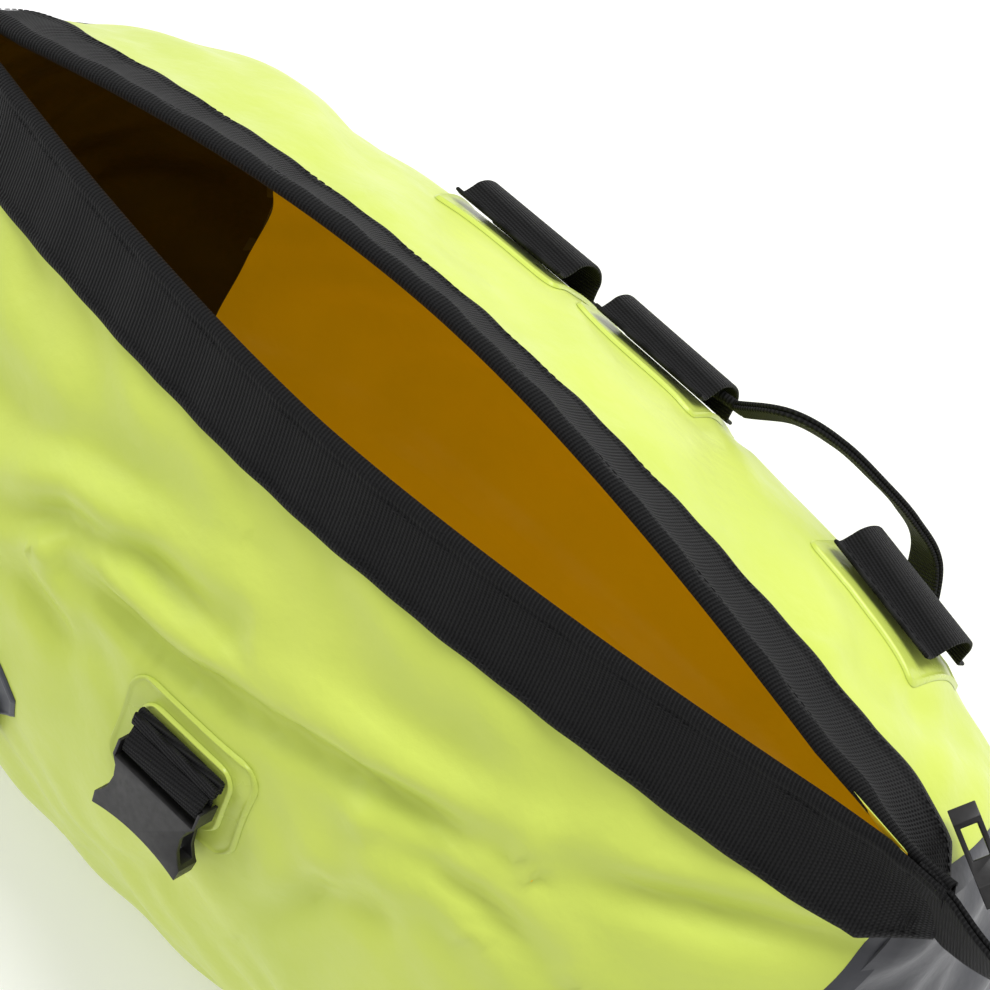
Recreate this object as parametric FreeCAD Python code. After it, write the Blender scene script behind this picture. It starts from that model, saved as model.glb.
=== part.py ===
"""Roll-top waterproof duffel bag, standing open on its base. Millimetres, +Z up.

The origin is the centre of the resting face. +X runs along the bag, -Y is its front.
"""

import FreeCAD, Part
import math
import os

from FreeCAD import Vector

# Driving dimensions
LENGTH = 492.0              # longest plan length, at the widest height
FRONT_REACH = 133.0         # widest reach of the front from the mouth's line
BACK_REACH = 118.0          # the same at the back
MOUTH_LENGTH = 452.0        # straight length of the open mouth, end to end
MOUTH_END_HEIGHT = 262.0    # height of the two mouth ends
FRONT_LIP_HEIGHT = 287.0    # height of the front lip at its middle
BACK_LIP_HEIGHT = 306.0     # height of the back lip at its middle
FABRIC = 1.2                # modelled thickness of coated fabric
GAP = 0.3                   # clearance between neighbouring pieces
SEAM_GAP = 0.8              # between the walls and the ends, half on each side
GUARD = 1.6                 # thickness of the layer under the base
BAND_DROP = 31.0            # how far the lip webbing reaches down outside
BAND_TURN = 9.0             # how far it reaches down inside
WEBBING = 1.4               # thickness of webbing
CLIP_WEBBING = 37.0         # width of the webbing that carries the clips
LOOP_WEBBING = 50.0         # width of the rear loops
CLIP_WIDTH = 42.0           # width of a clip across its mouth
CLIP_LENGTH = 32.0          # length of a socket clip
CLIP_THICK = 9.0            # thickness of a socket clip
# Centre of each rear loop along the bag. The left end of the back has no outer one.
REAR_LOOPS = {"inner_left": -37.0, "inner_right": 29.0, "outer_right": 147.0}

HALF = LENGTH / 2
TIP = MOUTH_LENGTH / 2
# One row per height, from the resting edge to the lip. Heights at the ends, at the middle of
# the front and at the middle of the back; half length; reach of front and back; the powers of
# the front outline along X and Y, and those of the back outline; half length of the seam.
LEVELS = [
    (0.0, 0.0, 0.0, HALF - 48, FRONT_REACH - 41, BACK_REACH - 34, 2.8, 2.8, 2.8, 2.8, 176.0),
    (6.0, 5.0, 5.0, HALF - 29, FRONT_REACH - 21, BACK_REACH - 18, 2.8, 2.8, 2.9, 2.9, 186.0),
    (28.0, 26.0, 26.0, HALF - 10, FRONT_REACH - 6, BACK_REACH - 6, 2.8, 2.8, 3.1, 3.1, 187.0),
    (75.0, 72.0, 74.0, HALF, FRONT_REACH, BACK_REACH, 2.8, 2.8, 3.3, 3.3, 180.0),
    (130.0, 130.0, 138.0, HALF, FRONT_REACH - 9, BACK_REACH - 4, 2.7, 2.6, 3.4, 3.2, 188.0),
    (185.0, 192.0, 204.0, HALF - 5, FRONT_REACH - 36, BACK_REACH - 24, 2.5, 2.2, 3.4, 2.8, 212.0),
    (232.0, 246.0, 262.0, HALF - 13, FRONT_REACH - 71, BACK_REACH - 60, 2.1, 1.5, 2.8, 1.8, 222.0),
    (MOUTH_END_HEIGHT, FRONT_LIP_HEIGHT, BACK_LIP_HEIGHT, TIP, 33.0, 17.0, 1.7, 0.96, 1.62, 0.7,
     203.0),
]
FRONT = -1
BACK = 1


# ---------------------------------------------------------------- bag surface

def level(v):
    """Row of surface values at v, 0 at the resting edge and 1 at the lip."""
    place = min(max(v, 0.0), 1.0) * (len(LEVELS) - 1)
    k = min(int(place), len(LEVELS) - 2)
    t = place - k
    before = LEVELS[max(k - 1, 0)]
    after = LEVELS[min(k + 2, len(LEVELS) - 1)]
    row = []
    for a, b, c, d in zip(before, LEVELS[k], LEVELS[k + 1], after):
        slope_b = (c - a) / 2
        slope_c = (d - b) / 2
        row.append(b + t * slope_b + t * t * (3 * (c - b) - 2 * slope_b - slope_c)
                   + t ** 3 * (2 * (b - c) + slope_b + slope_c))
    return row


def raw_point(side, angle, v):
    """Point of the outer surface: angle 0 at the -X end, 90 at the middle, 180 at the +X end."""
    end_z, front_z, back_z, half, front, back, fx, fy, bx, by, _ = level(v)
    reach, px, py, mid_z = (front, fx, fy, front_z) if side < 0 else (back, bx, by, back_z)
    c = -math.cos(math.radians(angle))
    s = abs(math.sin(math.radians(angle)))
    along = math.copysign(abs(c) ** (2 / px), c)
    return Vector(half * along, side * reach * s ** (2 / py),
                  GUARD + GAP + end_z + (mid_z - end_z) * (1 - along * along))


def angle_at(side, x, v):
    """Angle at which the outline at v passes the given x."""
    row = level(v)
    half = row[3]
    px = row[6] if side < 0 else row[8]
    ratio = min(abs(x) / half, 1.0) ** (px / 2)
    return math.degrees(math.acos(-math.copysign(ratio, x)))


def surface(side, angle, v, out=0.0):
    """Point of the bag's skin, moved outward by the distance given."""
    step = 0.004
    low_v = min(max(v - step, 0.0), 1.0 - 2 * step)
    at = min(max(angle, 3.0), 177.0)
    point = raw_point(side, angle, v)
    if out == 0.0:
        return point
    along = raw_point(side, at + 1.0, v) - raw_point(side, at - 1.0, v)
    up = raw_point(side, at, low_v + 2 * step) - raw_point(side, at, low_v)
    normal = along.cross(up)
    normal.normalize()
    if normal.y * side < 0:
        normal = normal * -1
    return point + normal * out


def on_skin(side, x, v, out=0.0):
    """Point of the skin at a given x."""
    return surface(side, angle_at(side, x, v), v, out)


def height_to_v(side, x, z):
    """The v at which the skin at this x reaches the height z."""
    low, high = 0.0, 1.0
    for _ in range(30):
        middle = (low + high) / 2
        if on_skin(side, x, middle).z < z:
            low = middle
        else:
            high = middle
    return (low + high) / 2


# ---------------------------------------------------------------- solid builders

def sheet_face(grid):
    """Smooth face through rows of points."""
    face = Part.BSplineSurface()
    face.interpolate(grid)
    return face


def slab(outer, inner):
    """Solid between two grids of points, closed by ruled faces round its rim."""
    top = sheet_face(outer)
    under = sheet_face(inner)
    faces = [top.toShape(), under.toShape()]
    u0, u1, v0, v1 = top.bounds()
    w0, w1, t0, t1 = under.bounds()
    rims = [(top.uIso(u0), under.uIso(w0)), (top.uIso(u1), under.uIso(w1)),
            (top.vIso(v0), under.vIso(t0)), (top.vIso(v1), under.vIso(t1))]
    for upper, lower in rims:
        faces.append(Part.makeRuledSurface(upper.toShape(), lower.toShape()))
    shell = Part.makeShell(faces)
    shell.sewShape()
    solid = Part.makeSolid(shell)
    solid.fix(0.01, 0.01, 0.01)
    if solid.Volume < 0:
        solid.reverse()
    return solid


def skin_slab(side, places, out, thick):
    """Slab lying on the skin: places is a grid of (x, v), out its lower face's clearance."""
    outer = [[on_skin(side, x, v, out + thick) for x, v in row] for row in places]
    inner = [[on_skin(side, x, v, out) for x, v in row] for row in places]
    return slab(outer, inner)


def tube_of(sections, ruled=False):
    """Solid through closed polygons of equal point count."""
    wires = [Part.makePolygon(points + [points[0]]) for points in sections]
    return Part.makeLoft(wires, True, ruled)


def span(start, end, count):
    """Evenly spaced numbers from start to end."""
    return [start + (end - start) * k / (count - 1) for k in range(count)]


def write(name, shape):
    shape.exportStep("parts/%s.step" % name)


# ---------------------------------------------------------------- fabric

LIP_V = 0.995               # top edge of the fabric, just under the lip
END_TOP_V = 0.855           # top edge of the ends; the stacked bands close the mouth above
FOOT_V = 0.0                # lower edge of the walls


def wall_panel(side):
    """Yellow wall between the two end seams."""
    outer, inner = [], []
    for v in span(FOOT_V, LIP_V, 15):
        reach = level(v)[10] - SEAM_GAP / 2
        xs = span(-reach, reach, 25)
        outer.append([on_skin(side, x, v) for x in xs])
        inner.append([on_skin(side, x, v, -FABRIC) for x in xs])
    return slab(outer, inner)


def end_panel(sign):
    """Charcoal end, from the front seam round the end to the back seam."""
    outer, inner = [], []
    for v in span(FOOT_V, END_TOP_V, 15):
        seam = level(v)[10] + SEAM_GAP / 2
        points = []
        for side in (FRONT, BACK):
            edge = angle_at(side, seam, v)
            turns = span(edge, 180.0, 9) if side == FRONT else span(180.0, edge, 9)[1:]
            points += [raw_point(side, turn, v) for turn in turns]
        inward = FABRIC + 5.0 * max(0.0, v - 0.75)
        outer.append([Vector(sign * p.x, p.y, p.z) for p in points])
        inner.append([shrunk(p, v, inward, sign) for p in points])
    return slab(outer, inner)


def shrunk(point, v, inward, sign):
    """Point of the end's inner face, drawn in towards the bag's middle."""
    row = level(v)
    reach = row[4] if point.y < 0 else row[5]
    fx = (row[3] - inward) / row[3]
    fy = (reach - min(inward, 0.35 * reach)) / reach
    return Vector(sign * point.x * fx, point.y * fy, point.z + (FABRIC if v < 0.1 else 0.0))


def base_outline(extra, z):
    """Closed outline of the flat base, made larger or smaller."""
    half, front, back = LEVELS[0][3], LEVELS[0][4], LEVELS[0][5]
    points = []
    for turn in span(0, 360, 49)[:-1]:
        c, s = math.cos(math.radians(turn)), math.sin(math.radians(turn))
        reach = front if s < 0 else back
        power = 2 / LEVELS[0][6]
        points.append(Vector(math.copysign(abs(c) ** power, c) * (half + extra),
                             math.copysign(abs(s) ** power, s) * (reach + extra), z))
    curve = Part.BSplineCurve()
    curve.interpolate(Points=points, PeriodicFlag=True)
    return Part.Face(Part.Wire(curve.toShape()))


def base_panel():
    """Flat yellow floor inside the walls."""
    return base_outline(-FABRIC - GAP, GUARD + GAP).extrude(Vector(0, 0, FABRIC))


def base_guard():
    """Charcoal wear layer under the floor; the bag rests on it."""
    return base_outline(4.0, 0.0).extrude(Vector(0, 0, GUARD))


# ---------------------------------------------------------------- lip

BAND_END_X = 200.0          # the folded bands end here and the tails go on
STIFFENER_TOP = 3.0         # stiffener's upper edge below the lip
STIFFENER_DEPTH = 18.0
STIFFENER_THICK = 1.0
STIFFENER_END_X = 192.0


def lip_point(side, x, out, drop):
    """Point beside the lip: drop is measured down the skin, and is negative above the lip."""
    top = on_skin(side, x, LIP_V)
    lower = on_skin(side, x, 0.93)
    if drop > 0:
        rate = (LIP_V - 0.93) / (top - lower).Length
        return on_skin(side, x, LIP_V - drop * rate, out)
    up = top - lower
    up.normalize()
    return on_skin(side, x, LIP_V, out) - up * drop


def lip_solid(side, end_x, outline):
    """Solid that follows the lip with the closed outline of (outward, drop) points."""
    sections = []
    for x in span(-end_x, end_x, 31):
        ahead = on_skin(side, x + 3.0, LIP_V) - on_skin(side, x - 3.0, LIP_V)
        ahead.normalize()
        top = on_skin(side, x, LIP_V)
        points = [lip_point(side, x, out, drop) for out, drop in outline]
        sections.append([p - ahead * ahead.dot(p - top) for p in points])
    return tube_of(sections)


def lip_band(side):
    """Webbing folded over the lip: long leg outside, short leg inside."""
    near_out = STIFFENER_THICK + 2 * GAP
    near_in = -FABRIC - 2 * GAP
    far_out, far_in = near_out + WEBBING, near_in - WEBBING
    drops = span(0.0, BAND_DROP, 6)
    outline = [(far_out, drop) for drop in reversed(drops)]
    outline += [(far_out, -GAP), (near_out, -GAP - WEBBING), (near_in, -GAP - WEBBING)]
    outline += [(far_in, -GAP), (far_in, BAND_TURN), (near_in, BAND_TURN), (near_in, -GAP)]
    outline += [(near_out, -GAP)] + [(near_out, drop) for drop in drops]
    return lip_solid(side, BAND_END_X, outline)


def lip_stiffener(side):
    """Plastic strip between the fabric and the outside leg of the band."""
    drops = span(STIFFENER_TOP, STIFFENER_TOP + STIFFENER_DEPTH, 4)
    outline = [(GAP + STIFFENER_THICK, drop) for drop in reversed(drops)]
    outline += [(GAP, drop) for drop in drops]
    return lip_solid(side, STIFFENER_END_X, outline)


# ---------------------------------------------------------------- local frames

def placed(shape, origin, across, along, out):
    """Shape drawn with X across, Y along and Z out, moved to a frame on the bag."""
    matrix = FreeCAD.Matrix(across.x, along.x, out.x, origin.x, across.y, along.y, out.y, origin.y,
                            across.z, along.z, out.z, origin.z, 0, 0, 0, 1)
    return shape.transformGeometry(matrix)


def skin_frame(side, x, z):
    """Origin, across, down and outward directions of the skin at a place on a long side."""
    v = height_to_v(side, x, z)
    origin = on_skin(side, x, v)
    across = on_skin(side, x + 4, v) - on_skin(side, x - 4, v)
    across.normalize()
    down = on_skin(side, x, v - 0.01) - on_skin(side, x, v + 0.01)
    down = down - across * across.dot(down)
    down.normalize()
    out = down.cross(across)
    if out.y * side < 0:
        out = out * -1
    return origin, across, down, out


def box(x0, x1, y0, y1, z0, z1):
    return Part.makeBox(x1 - x0, y1 - y0, z1 - z0, Vector(x0, y0, z0))


def strap(path, thick, width):
    """Webbing that follows a path in the YZ plane, its width centred on X."""
    left, right = [], []
    for k, (y, z) in enumerate(path):
        y0, z0 = path[max(k - 1, 0)]
        y1, z1 = path[min(k + 1, len(path) - 1)]
        run = math.hypot(y1 - y0, z1 - z0)
        ny, nz = -(z1 - z0) / run * thick / 2, (y1 - y0) / run * thick / 2
        left.append(Vector(-width / 2, y + ny, z + nz))
        right.append(Vector(-width / 2, y - ny, z - nz))
    rim = Part.makePolygon(left + list(reversed(right)) + [left[0]])
    return Part.Face(rim).extrude(Vector(width, 0, 0))


# ---------------------------------------------------------------- clips
# A clip is drawn with its bar at Y = 0, its mouth at +Y and its thickness centred on Z.

BAR_DEEP = 3.2              # the bar's size along the clip
BAR_THICK = 3.6
SLOT_END = 7.4              # the webbing's slot ends here
WALL = 1.7                  # thickness of a clip's plates
WINDOW_START = 15.0         # side window of a socket, along the clip
WINDOW_END = 25.5
LOOP_LENGTH = 20.0          # from a mouth clip's hinge line to its bar
FRONT_LOOP_LENGTH = 6.0     # the same for the front clip
PRONG_GAP = 0.8             # between a plug's prong and its body


def clip_outline():
    """Half widths along a socket: bar, waist and flared mouth."""
    return [(0.0, 20.0), (7.0, 20.0), (10.5, 17.4), (15.0, 16.4), (21.0, 17.2), (25.0, 19.4),
            (27.0, CLIP_WIDTH / 2), (CLIP_LENGTH, CLIP_WIDTH / 2 - 0.6)]


def plate(thick):
    """Solid block with a socket's outline and the shallow curve of its mouth."""
    rows = clip_outline()
    right = [Vector(half, y, -thick / 2) for y, half in rows]
    left = [Vector(-half, y, -thick / 2) for y, half in reversed(rows)]
    mouth = Part.Arc(right[-1], Vector(0, CLIP_LENGTH - 3.2, -thick / 2), left[0])
    edges = [Part.makeLine(a, b) for a, b in zip(right[:-1], right[1:])]
    edges.append(mouth.toShape())
    edges += [Part.makeLine(a, b) for a, b in zip(left[:-1], left[1:])]
    edges.append(Part.makeLine(left[-1], right[0]))
    return Part.Face(Part.Wire(edges)).extrude(Vector(0, 0, thick))


def bar_cuts(thick):
    """What is cut away round a clip's bar: the slot, and the bar's thinner section."""
    half = CLIP_WEBBING / 2 + 0.4
    slot = box(-half, half, BAR_DEEP, SLOT_END, -thick, thick)
    above = box(-half, half, -1, BAR_DEEP + 1, BAR_THICK / 2, thick)
    under = box(-half, half, -1, BAR_DEEP + 1, -thick, -BAR_THICK / 2)
    return [slot, above, under]


def socket_clip():
    """Female half: hollow towards its mouth, with a window in each side."""
    cavity_half = CLIP_THICK / 2 - WALL
    inside = CLIP_WIDTH / 2 - 6.6
    cuts = bar_cuts(CLIP_THICK)
    cuts.append(box(-inside, inside, 10, CLIP_LENGTH + 1, -cavity_half, cavity_half))
    cuts.append(box(-CLIP_WIDTH, CLIP_WIDTH, WINDOW_START, WINDOW_END, -cavity_half, cavity_half))
    return plate(CLIP_THICK).cut(cuts[0].multiFuse(cuts[1:]))


def plug_body():
    """Male half without its prongs: bar, plate and central guide."""
    half = CLIP_WEBBING / 2 + 2.2
    block = box(-half, half, 0, 14, -CLIP_THICK / 2 + 0.8, CLIP_THICK / 2 - 0.8)
    guide = box(-3.2, 3.2, 13, 34, -2.3, 2.3)
    cuts = bar_cuts(CLIP_THICK)
    return block.fuse(guide).cut(cuts[0].multiFuse(cuts[1:]))


PRONG_ROOT_X = 11.5
PRONG_START = 14 + PRONG_GAP


def plug_prong(sign):
    """Springy side arm with its catch."""
    outline = [(8.6, PRONG_START), (14.4, PRONG_START), (14.4, 20.0), (17.2, 24.0), (17.2, 33.0),
               (12.6, 40.0), (10.2, 40.0), (13.2, 31.5), (11.6, 21.0), (8.6, 17.0)]
    points = [Vector(sign * x, y, -2.3) for x, y in outline]
    return Part.Face(Part.makePolygon(points + [points[0]])).extrude(Vector(0, 0, 4.6))


def clip_loop(length):
    """Webbing round a clip's bar, its two legs reaching back to the hinge line."""
    inner = BAR_THICK / 2 + GAP + WEBBING / 2
    path = [(-length, WEBBING / 2 + 0.1), (-0.62 * length, WEBBING / 2 + 0.7),
            (-0.3 * length, inner - 0.5), (0, inner)]
    centre = BAR_DEEP / 2
    turns = span(90, -90, 9)
    reach = BAR_DEEP / 2 + 2 * GAP + WEBBING / 2
    for t in turns[1:-1]:
        c, s = math.cos(math.radians(t)), math.sin(math.radians(t))
        path.append((centre + reach * c ** 0.6, math.copysign(inner * abs(s) ** 0.6, s)))
    path += [(y, -z) for y, z in reversed(path[:4])]
    return strap(path, WEBBING, CLIP_WEBBING)


# ---------------------------------------------------------------- mouth ends

CLIP_BAR = Vector(249.3, 16.4, 242.2)       # centre of the right clip's bar
CLIP_ACROSS = Vector(0.19, -0.36, 0.926)    # along the bar, upwards
CLIP_ALONG = Vector(-0.877, 0.36, 0.318)    # from the bar to the mouth
TAIL_HEIGHT = 33.0
TAIL_THICK = 4.0


def clip_frame(sign):
    """Frame of the clip at one mouth end: sign is +1 at the right."""
    across = Vector(CLIP_ACROSS)
    across.normalize()
    along = CLIP_ALONG - across * across.dot(CLIP_ALONG)
    along.normalize()
    out = across.cross(along)
    return [Vector(sign * d.x, d.y, d.z) for d in (CLIP_BAR, across, along, out)]


def mouth_tail(sign):
    """The two bands stacked beyond the mouth's end, curling round to the clip's hinge line."""
    bar, across, along, _ = clip_frame(1)
    end = bar - along * (LOOP_LENGTH + 2 * GAP)
    up = Vector(0, 0, 1)
    # place, upward direction, height, thickness
    stations = [(Vector(BAND_END_X + 3, -1.8, 251.5), up, 28, 9), (Vector(222, -0.8, 251), up, 28, 6),
                (Vector(236, -0.8, 250), up, 28, TAIL_THICK),
                (Vector(241, -1.0, 247), up, TAIL_HEIGHT, TAIL_THICK),
                (Vector(256, -1.4, 245), up, TAIL_HEIGHT, TAIL_THICK),
                (Vector(267, 1.2, 240), across, TAIL_HEIGHT, TAIL_THICK),
                (end - along * 4.5 + Vector(0.5, -1.5, 0.6), across, TAIL_HEIGHT, TAIL_THICK),
                (end, across, TAIL_HEIGHT, TAIL_THICK)]
    sections = []
    for k, (place, tall, height, thick) in enumerate(stations):
        ahead = stations[min(k + 1, len(stations) - 1)][0] - stations[max(k - 1, 0)][0]
        if k == len(stations) - 1:
            ahead = along
        tall = tall - ahead * (ahead.dot(tall) / ahead.dot(ahead))
        tall.normalize()
        wide = ahead.cross(tall)
        wide.normalize()
        corners = [place + tall * (a * height / 2) + wide * (b * thick / 2)
                   for a, b in ((1, 1), (1, -1), (-1, -1), (-1, 1))]
        sections.append([Vector(sign * c.x, c.y, c.z) for c in corners])
    return tube_of(sections, True)


# ---------------------------------------------------------------- front clip

PATCH_X = 10.0              # centre of the front patch from the middle
PATCH_Z = 165.0
PATCH_OUTER = (60.0, 46.0)  # width and height of the larger patch
PATCH_INNER = (44.0, 32.0)
PATCH_THICK = 0.8
ANCHOR_SIZE = (40.0, 5.5, 5.0)
FRONT_CLIP_OUT = 7.2        # the clip's middle plane above the skin


def welded_patch(side, x, z, size, out, thick):
    """Thin patch with rounded corners that follows the skin."""
    origin, across, down, normal = skin_frame(side, x, z)
    width, height = size
    v_mid = height_to_v(side, x, z)
    v_step = height_to_v(side, x, z - 10) - v_mid
    rows = []
    for t in span(-1, 1, 9):
        inset = 4.0 * abs(t) ** 6
        v = v_mid + v_step * t * height / 2 / (10 / max(-down.z, 0.5))
        rows.append([(x + s * (width / 2 - inset), v) for s in span(-1, 1, 11)])
    return skin_slab(side, rows, out, thick)


def front_clip_frame():
    """Frame of the front clip's bar."""
    origin, across, down, out = skin_frame(FRONT, PATCH_X, PATCH_Z + 1)
    bar = origin + out * FRONT_CLIP_OUT
    tilt = math.radians(4)
    along = down * math.cos(tilt) + out * math.sin(tilt)
    return bar, across, along, along.cross(across)


def front_clip_anchor():
    """Folded webbing block sewn through the patches, above the clip."""
    bar, across, along, out = front_clip_frame()
    width, deep, thick = ANCHOR_SIZE
    start = -FRONT_LOOP_LENGTH - 2 * GAP - deep
    low = 2.4 - FRONT_CLIP_OUT + 1.4
    block = box(-width / 2, width / 2, start, start + deep, low, low + thick)
    return placed(block, bar, across, along, out)


# ---------------------------------------------------------------- rear loops and handles

REAR_Z = 200.0              # middle height of the rear loops
LOOP_RISE = 12.0            # how far a rear loop stands out
LOOP_HALF = 15.0            # half its length along the wall
HANDLE_WIDTH = 18.0
HANDLE_THICK = 3.6
HANDLE_START_GAP = 6.0      # between the inner loop's edge and the handle's start
HANDLE_END_X = 136.0
HANDLE_END_Z = 140.0
HANDLE_PATH = [(80, 107, 218), (95, 115, 208), (108, 121, 193), (119, 126.5, 176), (129, 128, 159)]


def rear_loop(x):
    """Band of webbing standing out from the wall, open along X, its ends sewn flat."""
    origin, across, down, out = skin_frame(BACK, x, REAR_Z)
    low = PATCH_THICK + 2 * GAP + WEBBING / 2
    tab = LOOP_HALF + 9.0
    path = [(-tab, low), (-LOOP_HALF - 3, low)]
    for turn in span(165, 15, 9):
        path.append((LOOP_HALF * math.cos(math.radians(turn)),
                     low + (LOOP_RISE - low) * math.sin(math.radians(turn)) ** 0.8))
    path += [(LOOP_HALF + 3, low), (tab, low)]
    return placed(strap(path, WEBBING, LOOP_WEBBING), origin, across, down, out)


def handle_ends():
    """Ends of the grab handle: at the inner loop's open side and low on the wall."""
    x0 = REAR_LOOPS["inner_right"] + LOOP_WEBBING / 2 + HANDLE_START_GAP
    origin, _, _, out = skin_frame(BACK, x0, REAR_Z)
    start = origin + out * 8.0
    origin, _, _, out = skin_frame(BACK, HANDLE_END_X, HANDLE_END_Z)
    return start, origin + out * 8.0


def rear_handle():
    """Webbing strap from the inner loop out and round behind the outer loop."""
    start, end = handle_ends()
    curve = Part.BSplineCurve()
    curve.interpolate([start] + [Vector(*p) for p in HANDLE_PATH] + [end])
    sections = []
    first, last = curve.FirstParameter, curve.LastParameter
    for t in span(first, last, 21):
        place = curve.value(t)
        ahead = curve.tangent(t)[0]
        share = (t - first) / (last - first)
        lean = Vector(0.9 * share, -0.25, 1.0 - 0.8 * share)
        wide = lean - ahead * ahead.dot(lean)
        wide.normalize()
        thin = ahead.cross(wide)
        half = wide * (HANDLE_WIDTH / 2 * (0.35 + 0.65 * min(1.0, 1.3 * share)))
        flat = thin * (HANDLE_THICK / 2)
        sections.append([place + half + flat, place + half - flat, place - half - flat,
                         place - half + flat])
    return tube_of(sections)


def handle_anchor():
    """Sewn tab that holds the handle's lower end."""
    origin, across, down, out = skin_frame(BACK, HANDLE_END_X, HANDLE_END_Z)
    height = 8.0 + HANDLE_THICK / 2
    block = box(-14, 14, 12.5, 30, GAP, GAP + 2 * WEBBING)
    riser = box(-9, 9, 12.5, 15.5, GAP, height)
    return placed(block.fuse(riser), origin, across, down, out)


# ---------------------------------------------------------------- front corners

CORNER_TIP_X = 66.0         # the patch's rounded point
CORNER_WIDE_X = 168.0       # where it ends towards the bag's end
CORNER_Z = 116.0
CORNER_THICK = 0.8


def corner_patch():
    """Charcoal reinforcement on the lower front corner, pointing to the middle."""
    rows = []
    middle = height_to_v(FRONT, 100, CORNER_Z)
    for t in span(-1, 1, 11):
        row = []
        for s in span(0, 1, 15):
            x = CORNER_WIDE_X - (CORNER_WIDE_X - CORNER_TIP_X) * s
            half = 0.012 + 0.15 * (1 - s ** 1.5)
            row.append((-x, middle + t * half - 0.05 * (1 - s)))
        rows.append(row)
    return skin_slab(FRONT, rows, GAP, CORNER_THICK)


def corner_loop():
    """Small lash loop of webbing on the corner patch, open up and down."""
    origin, across, down, out = skin_frame(FRONT, -92.0, 100.0)
    low = GAP + CORNER_THICK + GAP + WEBBING / 2
    path = [(-18, low), (-12, low), (-9, low + 3.4), (-4.5, low + 7.8), (0, low + 9.0),
            (4.5, low + 7.8), (9, low + 3.4), (12, low), (18, low)]
    return placed(strap(path, WEBBING, 25.0), origin, down, across, out)


def main():
    os.makedirs("parts", exist_ok=True)
    write("front_panel", wall_panel(FRONT))
    write("back_panel", wall_panel(BACK))
    write("base_panel", base_panel())
    write("base_guard", base_guard())
    for name, side in (("front", FRONT), ("back", BACK)):
        write(name + "_lip_band", lip_band(side))
        write(name + "_lip_stiffener", lip_stiffener(side))

    bar = front_clip_frame()
    write("front_patch_outer",
          welded_patch(FRONT, PATCH_X, PATCH_Z, PATCH_OUTER, GAP, PATCH_THICK))
    write("front_patch_inner", welded_patch(FRONT, PATCH_X, PATCH_Z, PATCH_INNER,
                                            2 * GAP + PATCH_THICK, PATCH_THICK))
    write("front_clip_anchor", front_clip_anchor())
    write("front_clip_loop", placed(clip_loop(FRONT_LOOP_LENGTH), *bar))
    write("front_clip_socket", placed(socket_clip(), *bar))
    write("front_corner_patch", corner_patch())
    write("front_corner_loop", corner_loop())
    write("rear_handle", rear_handle())
    write("rear_handle_anchor", handle_anchor())

    for name, sign in (("left", -1), ("right", 1)):
        write("end_panel_" + name, end_panel(sign))
        write("mouth_tail_" + name, mouth_tail(sign))
        write("mouth_clip_loop_" + name, placed(clip_loop(LOOP_LENGTH), *clip_frame(sign)))
    for name, x in REAR_LOOPS.items():
        write("rear_loop_" + name, rear_loop(x))
        write("rear_patch_" + name, welded_patch(BACK, x, REAR_Z, (58.0, 58.0), GAP, PATCH_THICK))
    write("mouth_clip_socket", placed(socket_clip(), *clip_frame(1)))
    write("mouth_clip_plug", placed(plug_body(), *clip_frame(-1)))
    write("mouth_clip_prong_upper", placed(plug_prong(1), *clip_frame(-1)))
    write("mouth_clip_prong_lower", placed(plug_prong(-1), *clip_frame(-1)))


main()
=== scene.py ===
import math

import bmesh
import bpy
import numpy as np
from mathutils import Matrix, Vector


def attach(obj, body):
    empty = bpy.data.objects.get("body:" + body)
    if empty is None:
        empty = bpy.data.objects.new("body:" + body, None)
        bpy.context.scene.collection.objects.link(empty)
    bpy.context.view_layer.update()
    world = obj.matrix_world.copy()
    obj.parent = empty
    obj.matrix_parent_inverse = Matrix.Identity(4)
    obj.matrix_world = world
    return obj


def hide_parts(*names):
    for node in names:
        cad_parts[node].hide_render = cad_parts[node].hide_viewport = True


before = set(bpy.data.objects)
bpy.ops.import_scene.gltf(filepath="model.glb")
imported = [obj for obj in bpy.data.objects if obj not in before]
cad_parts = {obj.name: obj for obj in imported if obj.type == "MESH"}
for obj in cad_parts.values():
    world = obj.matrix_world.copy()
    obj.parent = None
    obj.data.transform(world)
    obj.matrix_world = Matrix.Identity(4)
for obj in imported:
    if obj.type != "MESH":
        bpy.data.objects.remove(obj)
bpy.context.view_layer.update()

# Driving dimensions, in metres. The bag's surface is the one that part.py makes.
LENGTH = 0.492              # of the body, at its widest
FRONT_REACH = 0.133
BACK_REACH = 0.118
TIP = 0.226                 # half length of the mouth
MOUTH_END_HEIGHT = 0.262
FRONT_LIP_HEIGHT = 0.287
BACK_LIP_HEIGHT = 0.306
FLOOR_GAP = 0.0019          # base guard and its gap under the surface's own zero
FABRIC = 0.0011
PATCH_THICK = 0.0007
LIFT = 0.0002               # clear space between a patch and what it is welded to
WEBBING = 0.0014            # thickness
RIB = 0.00137               # distance between the ribs of the webbing
CLIP_WEBBING = 0.037
LOOP_WEBBING = 0.050
LIP_V = 0.995               # top edge of the walls
END_TOP_V = 0.945           # top edge of the ends
BAND_DROP = 0.0285          # how far the folded bands reach down outside
BAND_TURN = 0.009           # and inside
BAND_END_X = 0.240          # the bands run on beyond the mouth's end, pressed together
SEAM_TOP_V = 0.857          # above this the walls reach on to the mouth's end
UPRIGHT_FROM = 0.70         # above this v the lips' stiff webbing holds the walls steeper
FRONT_STEEP = 0.50          # by how much, at the front's middle
FRONT_STEEP_ENDS = 0.35     # and this much more at its ends
BACK_STEEP = 0.93
FOLD_GAIN = 1.8             # strength of the creases against their listed depth
FRONT = -1
BACK = 1

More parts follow.
